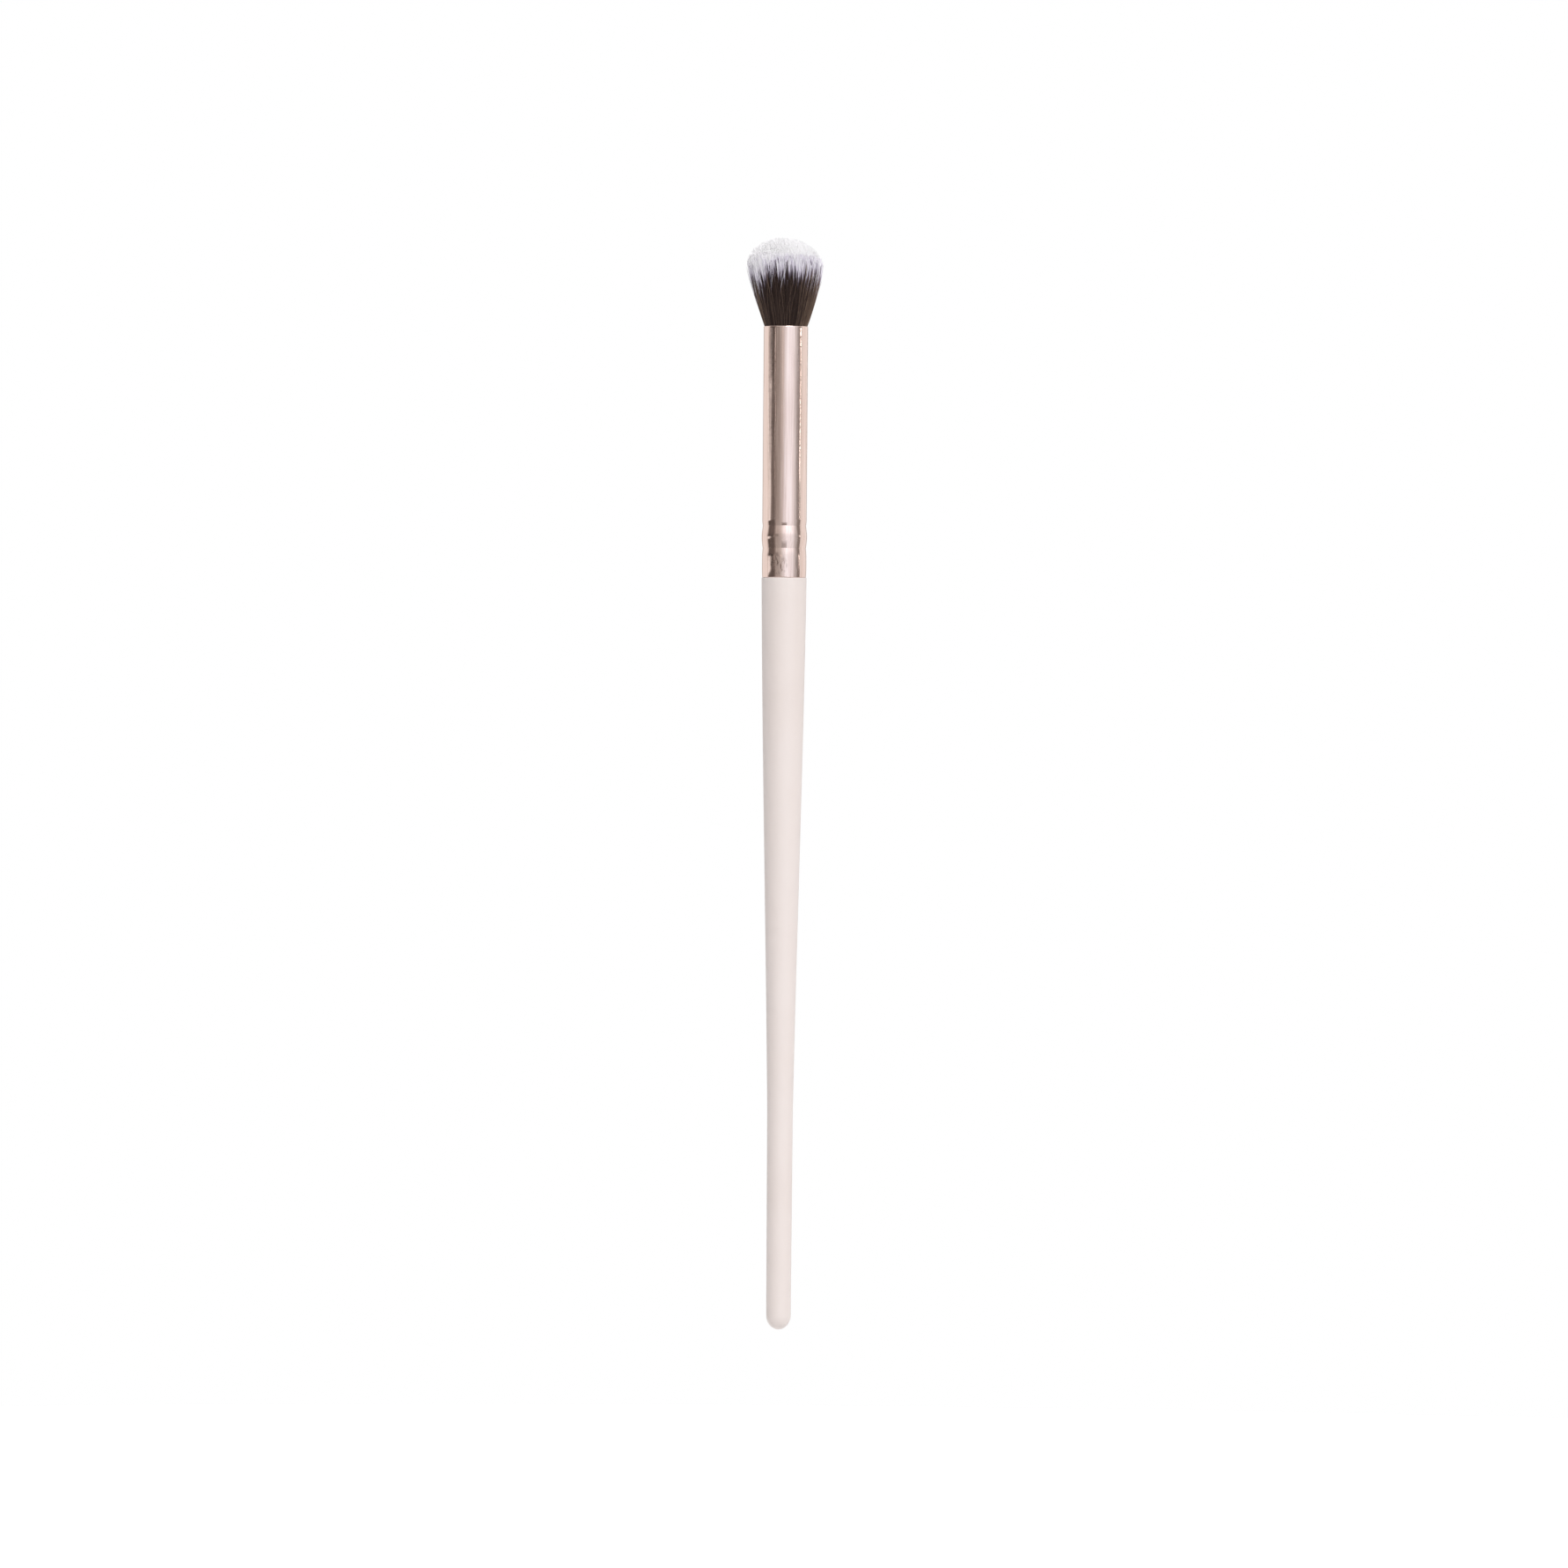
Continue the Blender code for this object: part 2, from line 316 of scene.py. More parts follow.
# %% [markdown]
# The screen hardly changes from top to bottom, but the reflections in a real ferrule do. So cards
# stand just before it: two slits of light, dim ones for what the bead and its flanks mirror, two
# that shade and brighten the tube by its mouth, two faint hazes lower down, and two large ones
# behind the brush. Each card fades out at its border, because a hard edge would show in the metal.

# %% Cards before the screen
CARD_RADIUS = SCREEN_RADIUS - 0.05


def card(name, level, bearing, width, low_edge, high_edge, fade_width, fade_height):
    """A glowing card, in degrees and metres, whose border fades out over the last two sizes."""
    material, tree = blank_material(name.replace("_", " "))
    solid = add(tree, "ShaderNodeAttribute", attribute_name="solid").outputs["Fac"]
    glow = add(tree, "ShaderNodeEmission", linear("#fff8f4"), level)
    faded = add(tree, "ShaderNodeMixShader", solid, add(tree, "ShaderNodeBsdfTransparent"), glow)
    add(tree, "ShaderNodeOutputMaterial", faded)
    middle = (low_edge + high_edge) / 2
    corners = []
    for inwards in (0, 1):
        half_width = width / 2 - fade_width * inwards
        half_height = (high_edge - low_edge) / 2 - fade_height * inwards
        for sideways, upwards in ((-1, -1), (1, -1), (1, 1), (-1, 1)):
            turn = math.radians(bearing + sideways * half_width)
            height = middle + upwards * half_height
            corners.append((CARD_RADIUS * math.sin(turn), -CARD_RADIUS * math.cos(turn), height))
    border = [(n, (n + 1) % 4, 4 + (n + 1) % 4, 4 + n) for n in range(4)]
    prop = staged(name, corners, border + [(4, 5, 6, 7)], material)
    prop.data.attributes.new("solid", "FLOAT", "POINT").data.foreach_set("value", [0] * 4 + [1] * 4)
    mirrored.append(prop)


card("right_slit", 4.5, 83.5, 6, 0.211, 0.266, 0.5, 0.005)
card("left_slit", 1.5, -54.5, 5, 0.228, 0.268, 0.75, 0.007)
card("flag_tongue", 0.26, -40, 19, 0.232, 0.45, 3.8, 0.044)
card("low_card", 0.28, -1, 36, -1.0, -0.22, 9, 0.195)
card("right_shade_below", 0.27, 79.5, 19, -1.0, 0.19, 1.5, 0.008)
card("right_shade_above", 0.27, 79.5, 19, 0.272, 0.9, 1.5, 0.008)
# The straight wall mirrors a band only 7 cm tall, darkest on the left by the mouth.
card("mouth_shade", 0.02, -74, 30, 0.238, 0.3, 6, 0.01)
card("mouth_glow", 0.9, -16, 16, 0.242, 0.3, 5, 0.008)
card("left_haze", 0.36, -65, 18, 0.165, 0.219, 5, 0.012)
card("right_haze", 0.2, 66, 10, 0.165, 0.216, 3.5, 0.01)
card("back_flag", 0.5, 151, 12, -1.2, 2.3, 3, 0.2)
card("back_card", 0.7, 203, 30, -1.2, 2.3, 7.5, 0.2)
for prop in mirrored:
    prop.visible_camera = False
    prop.visible_diffuse = False
    prop.visible_transmission = False
    prop.visible_shadow = False
print(len(mirrored) - 1, "cards before the screen")

# %% [markdown]
# The handle and the ferrule are turned shapes, so both follow one rule: an outline of radius against
# height, carried round the axis. Blender can do that with Spin, with a Screw modifier or with nodes.
# Nodes keep the rule in sight: the outline becomes a curve, which is carried round a thin hub, the
# points that meet on the axis are welded, and the faces, which come out facing in, are flipped.

# %% Lathe tree
HUB_RADIUS = 1 * MM
turning = dict(Sides=144, Hub_Radius=HUB_RADIUS, Weld=0.001 * MM)
lathe = bpy.data.node_groups.new("lathe", "GeometryNodeTree")
lathe.is_modifier = True
lathe.interface.new_socket("Turned", in_out="OUTPUT", socket_type="NodeSocketGeometry")
for name, kind in (
    ("Outline", "Geometry"),
    ("Sides", "Int"),
    ("Hub Radius", "Float"),
    ("Weld", "Float"),
    ("Finish", "Material"),
):
    lathe.interface.new_socket(name, in_out="INPUT", socket_type="NodeSocket" + kind)
given = add(lathe, "NodeGroupInput").outputs
hub = add(lathe, "GeometryNodeCurvePrimitiveCircle", given["Sides"], given["Hub Radius"])
profile = add(lathe, "GeometryNodeMeshToCurve", given["Outline"])
skin = add(lathe, "GeometryNodeCurveToMesh", hub, profile)
welded = add(lathe, "GeometryNodeMergeByDistance", skin, Distance=given["Weld"])
outward = add(lathe, "GeometryNodeFlipFaces", welded)
smooth = add(lathe, "GeometryNodeSetShadeSmooth", outward)
real = add(lathe, "GeometryNodeRealizeInstances", smooth)
add(lathe, "NodeGroupOutput", add(lathe, "GeometryNodeSetMaterial", real, Material=given["Finish"]))
print("lathe tree:", len(lathe.nodes), "nodes")

# %% [markdown]
# A tree only makes geometry while its modifier is live, and the part needs plain meshes. So this
# function sets the tree's inputs by their identifiers, keeps the evaluated result as a new mesh, and
# takes the modifier off again.

# %% Keep what a tree makes
def grow(name, tree, start, slot, **inputs):
    """Runs a tree on a start mesh and keeps its result as a plain piece of the brush."""
    piece = bpy.data.objects.new(name, start)
    bpy.context.collection.objects.link(piece)
    modifier = piece.modifiers.new(tree.name, "NODES")
    modifier.node_group = tree
    for item in tree.interface.items_tree:
        if item.name.replace(" ", "_") in inputs:
            modifier[item.identifier] = inputs[item.name.replace(" ", "_")]
    evaluated = piece.evaluated_get(bpy.context.evaluated_depsgraph_get())
    made = bpy.data.meshes.new_from_object(evaluated)
    piece.modifiers.clear()
    piece.data = made
    made.name = name
    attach(piece, "root")
    size = []
    for axis in range(3):
        places = [vertex.co[axis] for vertex in made.vertices]
        size.append(round(1000 * (max(places) - min(places)), 2))
    print(name, len(made.polygons), "faces,", size, "mm,", [m.name for m in made.materials])
    return piece


def arc(centre, size, start, end, steps):
    """Points of an elliptical arc, from the start angle to the end angle in degrees."""
    points = []
    for step in range(steps + 1):
        angle = math.radians(start + (end - start) * step / steps)
        points.append((centre[0] + size[0] * math.cos(angle), centre[1] + size[1] * math.sin(angle)))
    return points


def outline(points, closed=False):
    """A line of edges through (radius, height) points, measured from the lathe's hub."""
    mesh = bpy.data.meshes.new("outline")
    edges = [(n, n + 1) for n in range(len(points) - 1)] + [(len(points) - 1, 0)] * closed
    mesh.from_pydata([(radius - HUB_RADIUS, -height, 0) for radius, height in points], edges, [])
    return mesh


print("a quarter round in 4 steps:", len(arc((0, 0), (1, 1), 0, 90, 4)), "points")

# %% [markdown]
# ## Lacquered handle
# The real handle is taken to be a beech blank, turned, sealed and dipped in satin cream lacquer. Such
# a lacquer hides the wood's colour but not all of its relief: the eye gets a soft sheen, a faint
# orange peel and, close up, shallow lines where the grain has sunk. So the colour hardly varies, and
# the roughness and two fine bumps do the work.

# %% Satin lacquer
lacquer, tree = blank_material("satin cream lacquer over turned beech")
here = add(tree, "ShaderNodeTexCoord").outputs["Object"]
# Sunk grain runs up the handle, with lines 0.35 mm apart and about 9 mm long.
grain_space = add(tree, "ShaderNodeMapping", here, Scale=(2800, 2800, 110))
grain = add(tree, "ShaderNodeTexNoise", grain_space, Scale=1.0, Detail=3.0, Roughness=0.55)
# Orange peel of dipped lacquer, in soft cells about 0.9 mm across.
peel = add(tree, "ShaderNodeTexNoise", here, Scale=1100.0, Detail=2.0, Roughness=0.4)
# The dip runs a little thicker and thinner over some 15 mm.
flow = add(tree, "ShaderNodeTexNoise", here, Scale=65.0, Detail=2.0)
cream = add(tree, "ShaderNodeValToRGB", flow, stops=[(0.3, "#e5d9d4"), (0.7, "#e9deda")])
sheen = add(tree, RANGE, peel, 0.3, 0.7, 0.36, 0.46)
sunk = add(tree, "ShaderNodeBump", Strength=0.3, Distance=0.01 * MM, Height=grain)
peeled = add(tree, "ShaderNodeBump", Strength=0.4, Distance=0.02 * MM, Height=peel, Normal=sunk)
coat = add(tree, "ShaderNodeBsdfPrincipled", cream, Roughness=sheen, Normal=peeled)
add(tree, "ShaderNodeOutputMaterial", coat)
print("lacquer:", len(tree.nodes), "nodes")

# %% [markdown]
# The outline starts on the axis at the round tail, runs up the slim stretch and the long convex
# taper to the shoulder, and ends with the tenon that the ferrule hides. Rings sit close together by
# the small rounds, because smooth shading spreads a bend over the whole face next to it.

# %% Outline of the handle
TAIL_RADIUS, TAIL_ROUND = 1.97 * MM, 2.3 * MM
SLIM_RADIUS, SLIM_LENGTH = 2.06 * MM, 35 * MM
TOP_RADIUS, SHOULDER_ROUND = 3.61 * MM, 0.09 * MM
TENON_LENGTH, TENON_BEVEL = 17.5 * MM, 0.6 * MM
CRIMP_HEIGHT = 4.7
SLIM_STEPS, TAPER_STEPS = 12, 60
# The lacquer stands a hair above the wood and all but closes the gap under the ferrule.
SHOULDER_TOP = FERRULE_START - 0.03 * MM


def taper(share):
    """How far the long taper has grown at a share of its height: a cubic with set end slopes."""
    return 0.8 * share + 0.85 * share**2 - 0.65 * share**3


def smoothed(corners, passes=3):
    """A smooth line that keeps its two ends. Each pass cuts the corners between them finer."""
    for _ in range(passes):
        cut = [corners[0]]
        for (x, y), (far_x, far_y) in zip(corners, corners[1:]):
            cut.append((0.75 * x + 0.25 * far_x, 0.75 * y + 0.25 * far_y))
            cut.append((0.25 * x + 0.75 * far_x, 0.25 * y + 0.75 * far_y))
        corners = cut + [corners[-1]]
    return corners


def crimped(radius):
    """The pressed stretch of a wall: a sharp crease, a bead a little proud of the wall, a crease."""
    bead = [(-0.09, 0), (0.055, 1.2), (0.075, 1.7), (0.075, 1.9), (0.055, 2.4), (-0.09, 3.6)]
    line = smoothed([(0, -2), (-0.012, -0.9), (-0.09, 0)])
    line += smoothed(bead)[1:]
    line += smoothed([(-0.09, 3.6), (0, 4.25), (0, 5)])[1:]
    return [(radius + x * MM, FERRULE_START + (CRIMP_HEIGHT + y) * MM) for x, y in line]


tail = arc((0, TAIL_ROUND), (TAIL_RADIUS, TAIL_ROUND), -90, 0, 24)
slim = []
for step in range(1, SLIM_STEPS):
    slim_radius = TAIL_RADIUS + (SLIM_RADIUS - TAIL_RADIUS) * step / SLIM_STEPS
    slim.append((slim_radius, TAIL_ROUND + (SLIM_LENGTH - TAIL_ROUND) * step / SLIM_STEPS))
taper_length = SHOULDER_TOP - SHOULDER_ROUND - SLIM_LENGTH
widening = []
for step in range(TAPER_STEPS + 1):
    taper_radius = SLIM_RADIUS + (TOP_RADIUS - SLIM_RADIUS) * taper(step / TAPER_STEPS)
    widening.append((taper_radius, SLIM_LENGTH + taper_length * step / TAPER_STEPS))
# One more ring, 0.3 mm below the last, keeps the bend of the shoulder off the taper.
widening.insert(-1, (widening[-1][0] - 0.004 * MM, widening[-1][1] - 0.3 * MM))
shoulder_centre = (TOP_RADIUS - SHOULDER_ROUND, SHOULDER_TOP - SHOULDER_ROUND)
shoulder = arc(shoulder_centre, (SHOULDER_ROUND, SHOULDER_ROUND), 0, 90, 8)[1:]
tenon_top = HANDLE_LENGTH + TENON_LENGTH
tenon = [(SEATED_RADIUS, SHOULDER_TOP), *crimped(SEATED_RADIUS)]
tenon.append((SEATED_RADIUS, tenon_top - TENON_BEVEL))
tenon += [(SEATED_RADIUS - TENON_BEVEL, tenon_top), (0, tenon_top)]
handle_points = tail + slim + widening + shoulder + tenon
print("handle's outline:", len(handle_points), "points")

# %% Handle
handle_line = outline(handle_points)
handle = grow("turned_handle", lathe, handle_line, "lacquered_handle", Finish=lacquer, **turning)
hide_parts("handle")

# %% [markdown]
# ## Crimped ferrule
# The ferrule is taken to be a seamless tube, drawn from aluminium, tumbled bright and anodised in a
# pale rose champagne. Drawing leaves fine lines along the tube and a slow waviness that bends the
# mirrored edges, and handling leaves dull scuffs below the crimp. An anodised metal tints what it
# mirrors, so the tint is the metal's own base colour.

# %% Anodised aluminium
anodised, tree = blank_material("champagne anodised aluminium, drawn and tumbled")
here = add(tree, "ShaderNodeTexCoord").outputs["Object"]
# Slow waviness of the drawn wall: about 3 mm round the tube by 12 mm along it.
wavy_space = add(tree, "ShaderNodeMapping", here, Scale=(330, 330, 85))
waves = add(tree, "ShaderNodeTexNoise", wavy_space, Scale=1.0, Detail=2.0, Roughness=0.5)
# Drawing lines: about 0.25 mm apart, as coarse as they need to show, and some 12 mm long.
line_space = add(tree, "ShaderNodeMapping", here, Scale=(4000, 4000, 85))
lines = add(tree, "ShaderNodeTexNoise", line_space, Scale=1.0, Detail=3.0, Roughness=0.6)
# Tumbling marks: shallow pits about 0.7 mm across, deepest on the right and towards the mouth.
marks = add(tree, "ShaderNodeTexNoise", here, Scale=1500.0, Detail=2.0, Roughness=0.5)
where = add(tree, "ShaderNodeSeparateXYZ", here).outputs
on_the_right = add(tree, RANGE, where["X"], 1.7 * MM, 2.3 * MM, 0.12, 1.0)
depth = add(tree, RANGE, where["Z"], 138 * MM, 146 * MM, 0.1, on_the_right)
pits = add(tree, MATH, marks, depth, operation="MULTIPLY")
champagne = [(0.3, "#dac0b5"), (0.5, "#e7cec3"), (0.72, "#efd9cf")]
clean_tint = add(tree, "ShaderNodeValToRGB", lines, stops=champagne)
clean_polish = add(tree, RANGE, lines, 0.35, 0.65, 0.16, 0.07)
# Handling scuffs: dull smears about 0.3 mm wide and 1.3 mm tall, on the front left.
SCUFFED = (-1.0 * MM, -3.4 * MM, FERRULE_START + 2.0 * MM)
distance = add(tree, VECTOR, here, SCUFFED, operation="DISTANCE")
near = add(tree, RANGE, distance, 0.6 * MM, 1.7 * MM, 1.0, 0.0)
smear_space = add(tree, "ShaderNodeMapping", here, Scale=(3200, 3200, 800))
smears = add(tree, "ShaderNodeTexNoise", smear_space, Scale=1.0, Detail=2.0, Distortion=0.5)
scuffs = add(tree, RANGE, smears, 0.49, 0.6, 0.0, near)
tint = add(tree, "ShaderNodeMix", scuffs, clean_tint, linear("#7a645b"), data_type="RGBA")
polish = add(tree, MATH, scuffs, 0.3, clean_polish, operation="MULTIPLY_ADD")
waved = add(tree, "ShaderNodeBump", Strength=1.0, Distance=0.06 * MM, Height=waves)
lined = add(tree, "ShaderNodeBump", Strength=1.0, Distance=0.003 * MM, Height=lines, Normal=waved)
pitted = add(tree, "ShaderNodeBump", Strength=1.0, Distance=0.02 * MM, Height=pits, Normal=lined)
metal = add(tree, "ShaderNodeBsdfPrincipled", tint, 1.0, polish, Normal=pitted)
add(tree, "ShaderNodeOutputMaterial", metal)
print("anodised aluminium:", len(tree.nodes), "nodes")

# %% [markdown]
# The ferrule's outline is closed: up the outside with the crimp, over the round lip of the mouth, and
# down the inside, where the same crimp is pressed in. The foot has small eased corners.

# %% Ferrule
RADIUS, WALL, EASED = 3.58 * MM, 0.25 * MM, 0.06 * MM
# Cutting has rolled the tube's lower end in by 0.05 mm over its last 1.6 mm.
ROLLED, ROLL_LENGTH, ROLL_STEPS = 0.05 * MM, 1.6 * MM, 10
inner = RADIUS - WALL
plain = [(RADIUS, FERRULE_START + (10 + n) * MM) for n in range(30)]
foot = arc((inner + EASED, FERRULE_START + EASED), (EASED, EASED), 180, 270, 6)
foot += arc((RADIUS - ROLLED - EASED, FERRULE_START + EASED), (EASED, EASED), 270, 360, 6)
rolled = []
for step in range(1, ROLL_STEPS + 1):
    still_in = ROLLED * (1 - step / ROLL_STEPS) ** 2
    rolled.append((RADIUS - still_in, FERRULE_START + ROLL_LENGTH * step / ROLL_STEPS))
lip = arc((RADIUS - WALL / 2, MOUTH - WALL / 2), (WALL / 2, WALL / 2), 0, 180, 12)
wall = foot + rolled + crimped(RADIUS) + plain + [(RADIUS, MOUTH - 0.3 * MM)] + lip
wall += [(inner, height) for _, height in reversed(plain)] + crimped(inner)[::-1]
wall_line = outline(wall, closed=True)
ferrule = grow("crimped_ferrule", lathe, wall_line, "ferrule_metal", Finish=anodised, **turning)
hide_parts("ferrule")

# %% [markdown]
# ## Set resin
# Nobody sees the plug that holds the roots, but the part keeps it, so it gets an honest finish:
# amber epoxy that has wetted the packed fibres, with their ends showing as darker specks.

# %% Amber resin
resin, tree = blank_material("cast amber epoxy, set round fibre ends")
here = add(tree, "ShaderNodeTexCoord").outputs["Object"]
# Fibre ends are about 0.08 mm across.
ends = add(tree, "ShaderNodeTexVoronoi", here, Scale=12000.0)
amber = add(tree, "ShaderNodeValToRGB", ends, stops=[(0.25, "#4a2f1a"), (0.5, "#8a6236")])
glaze = add(tree, RANGE, ends, 0.2, 0.6, 0.2, 0.4)
ripple = add(tree, "ShaderNodeBump", Strength=0.4, Distance=0.02 * MM, Height=ends)
cast = add(tree, "ShaderNodeBsdfPrincipled", amber, Roughness=glaze, Normal=ripple)
add(tree, "ShaderNodeOutputMaterial", cast)
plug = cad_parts["glued_roots"]
for slot in plug.material_slots:
    slot.material = resin
print("glued_roots wears", plug.material_slots[0].material.name)

# %% [markdown]
# ## Dyed filament
# The tuft is taken to be polyester filament, drawn fine and etched at its end, then dipped in dye
# and turned over, so that the last few millimetres stay white. Each filament sat a little differently
# in the dye, which makes the ragged border. The eye gets a dark brown mass with soft glints, some of
# them painted on paler strays. It is lighter brown at the two sides as painted side light. Above it
# lies a narrow violet-grey band that is partly the dye's edge and partly painted shade from the dark
# below, and then come tips as soft as chalk. White filament is white because light goes from one to
# the next and hardly any is lost, so its colour is nearly 1 and the picture needs many bounces.

# %% Filament
filament, tree = blank_material("drawn polyester filament, dip-dyed with white tips")
here = add(tree, "ShaderNodeTexCoord").outputs["Object"]
height = add(tree, "ShaderNodeSeparateXYZ", here).outputs["Z"]
dye_ends = add(tree, "ShaderNodeAttribute", attribute_name="dye_line").outputs["Fac"]
tone_and_painted_light = add(tree, "ShaderNodeAttribute", attribute_name="tone_and_painted_light").outputs["Fac"]
above = add(tree, MATH, height, dye_ends, operation="SUBTRACT")
bleed = add(tree, RANGE, above, -1.0 * MM, 0.7 * MM, interpolation_type="SMOOTHSTEP")
fading = add(tree, RANGE, above, 0.0, 4.5 * MM)
# The light end of this brown shows on the tuft's flanks as painted side light, and on strays and
# flyaways as painted glints.
dark_to_light = [(0.0, "#392b28"), (0.5, "#503f39"), (1.0, "#9c8474")]
brown = add(tree, "ShaderNodeValToRGB", tone_and_painted_light, stops=dark_to_light)
# Just above the dye line the white is violet-grey, partly the dye's own edge and partly painted shade
# from the dark mass below, and it clears to white over 4.5 mm.
violet_shade_to_white = [(0.0, "#a79cb1"), (0.13, "#e8e1ef"), (0.35, "#f9f6fc"), (0.8, "#fffeff")]
pale = add(tree, "ShaderNodeValToRGB", fading, stops=violet_shade_to_white)
coloured = add(tree, "ShaderNodeMix", bleed, brown, pale, data_type="RGBA")
gloss = add(tree, RANGE, tone_and_painted_light, 0.0, 1.0, 0.32, 0.45)
body = add(tree, "ShaderNodeBsdfPrincipled", coloured, Roughness=gloss, Specular_IOR_Level=0.2)
through = add(tree, "ShaderNodeBsdfTranslucent", coloured)
# Dye and all, a filament lets light through, but chalky etched tips throw nearly all of it back.
shining = add(tree, RANGE, bleed, 0.0, 1.0, 0.35, 0.04)
add(tree, "ShaderNodeOutputMaterial", add(tree, "ShaderNodeMixShader", shining, body, through))
print("filament:", len(tree.nodes), "nodes")

# %% [markdown]
# ## Tuft
# Many thousand filaments are work for Geometry Nodes. Each one gets a place in a sunflower spiral,
# which packs a circle evenly, and keeps that share of the tuft's radius all the way up while the
# tuft opens from the bore to its belly. Its tip stops on the trimmed dome. Filaments also cling
# together in locks, and the cells of a Voronoi pattern say which ones share a lock.

# %% Tuft tree: a filament's place
STRAND_POINTS = 9
GOLDEN_ANGLE = math.pi * (3 - math.sqrt(5))
tuft = bpy.data.node_groups.new("tuft", "GeometryNodeTree")
tuft.is_modifier = True
tuft.interface.new_socket("Fibres", in_out="OUTPUT", socket_type="NodeSocketGeometry")
for name, kind in (
    ("Start", "Geometry"),
    ("Count", "Int"),
    ("First", "Int"),
    ("Whole Tuft", "Int"),
    ("Seed", "Int"),
    ("Root Height", "Float"),
    ("Mouth Height", "Float"),
    ("Belly Height", "Float"),
    ("Dome Height", "Float"),
    ("Belly Radius", "Float"),
    ("Shortest", "Float"),
    ("Thickness", "Float"),
    ("Wander", "Float"),
    ("Twist", "Float"),
    ("Locks", "Float"),
    ("Cling", "Float"),
    ("Dye Height", "Float"),
    ("Side Drop", "Float"),
    ("Painted_Glint", "Float"),
    ("Finish", "Material"),
):
    tuft.interface.new_socket(name, in_out="INPUT", socket_type="NodeSocket" + kind)
given = add(tuft, "NodeGroupInput").outputs
straight = add(tuft, "GeometryNodeCurvePrimitiveLine", (0, 0, 0), (0, 0, 1))
strand = add(tuft, "GeometryNodeResampleCurve", straight, Count=STRAND_POINTS)
starts = add(tuft, "GeometryNodePoints", given["Count"])
many = add(tuft, "GeometryNodeInstanceOnPoints", starts, Instance=strand)
strands = add(tuft, "GeometryNodeRealizeInstances", many)
index = add(tuft, "GeometryNodeInputIndex")
on_strand = add(tuft, "GeometryNodeFieldOnDomain", index, data_type="INT", domain="CURVE")
number = add(tuft, MATH, on_strand, given["First"])
part = add(tuft, MATH, add(tuft, MATH, number, 0.5), given["Whole Tuft"], operation="DIVIDE")
share = add(tuft, MATH, part, operation="SQRT")
spiral = add(tuft, MATH, number, GOLDEN_ANGLE, operation="MULTIPLY")
outwards = add(tuft, "ShaderNodeCombineXYZ", share)
place = add(tuft, "ShaderNodeVectorRotate", outwards, Angle=spiral, rotation_type="Z_AXIS")
cells = add(tuft, "ShaderNodeTexVoronoi", place, Scale=given["Locks"], voronoi_dimensions="2D")
lock = cells.outputs
lock_chance = add(tuft, "ShaderNodeSeparateXYZ", lock["Color"]).outputs
print("tuft tree so far:", len(tuft.nodes), "nodes")

# %% [markdown]
# Every filament draws its own random numbers, three to a node, all from one seed. The first set
# sways it, the second sets its length, its dye line and its tone, and the third its twist, the phase
# of its waves and how short it is broken.

# %% Random numbers and tip
RANDOM = "FunctionNodeRandomValue"
each = dict(ID=number, data_type="FLOAT_VECTOR")
sway = add(tuft, RANDOM, (-1, -1, 0), (1, 1, 0), Seed=given["Seed"], **each)
next_seed = add(tuft, MATH, given["Seed"], 1)
chances = add(tuft, RANDOM, (0, 0, 0), (1, 1, 1), Seed=next_seed, **each)
chance = add(tuft, "ShaderNodeSeparateXYZ", chances).outputs
third_seed = add(tuft, MATH, given["Seed"], 2)
others = add(tuft, RANDOM, (-0.5, 0, 0), (1, 1, 1), Seed=third_seed, **each)
other = add(tuft, "ShaderNodeSeparateXYZ", others).outputs
squared = add(tuft, MATH, share, share, operation="MULTIPLY")
# The trimmed dome is a little more pointed than an ellipse, and its right side is a hair lower.
remaining = add(tuft, MATH, 1.0, squared, operation="SUBTRACT")
dome = add(tuft, MATH, remaining, 0.58, operation="POWER")
rightwards = add(tuft, "ShaderNodeSeparateXYZ", place)
belly = add(tuft, MATH, rightwards, -0.15 * MM, given["Belly Height"], operation="MULTIPLY_ADD")
trimmed = add(tuft, MATH, dome, given["Dome Height"], belly, operation="MULTIPLY_ADD")
uneven = add(tuft, RANGE, chance["X"], 0.0, 1.0, -0.35 * MM, 0.02 * MM)
cut = add(tuft, RANGE, other["Z"], 0.0, 1.0, given["Shortest"], 1.0)
tip = add(tuft, MATH, add(tuft, MATH, trimmed, uneven), cut, operation="MULTIPLY")
root = add(tuft, MATH, given["Root Height"], given["Mouth Height"], operation="SUBTRACT")
# Points along a filament sit closer together at its foot, where it bends over the rim.
along = add(tuft, "GeometryNodeSplineParameter").outputs["Factor"]
eased = add(tuft, MATH, along, 1.4, operation="POWER")
level = add(tuft, RANGE, eased, 0.0, 1.0, root, tip)
print("tuft tree so far:", len(tuft.nodes), "nodes")

# %% [markdown]
# The tuft's side view is one curve of radius against height: straight in the bore, a quick spread
# over the rim, then a nearly straight flare that rounds off at the belly. A Float Curve holds it, as
# a share of the belly's radius. Sway, twist and cling all grow with height, so that filaments cross
# each other and gather in locks, but leave the bore in order.

# %% Tuft outline and sway
CURVE_START, CURVE_END = -1.5, 12
FULL_RADIUS = 6.1
OUTLINE = [  # height above the mouth and radius, both in millimetres
    (-1.5, 3.2),
    (-0.3, 3.24),
    (0.3, 3.47),
    (1.7, 3.92),
    (5.9, 5.15),
    (9.7, 5.98),
    (12, 6.03),
]
up_the_curve = add(tuft, RANGE, level, CURVE_START * MM, CURVE_END * MM)
opening = add(tuft, "ShaderNodeFloatCurve", 1.0, up_the_curve)
points = opening.mapping.curves[0].points
while len(points) < len(OUTLINE):
    points.new(0.5, 0.5)
for point, (high, wide) in zip(points, OUTLINE):
    point.location = ((high - CURVE_START) / (CURVE_END - CURVE_START), wide / FULL_RADIUS)
opening.mapping.update()
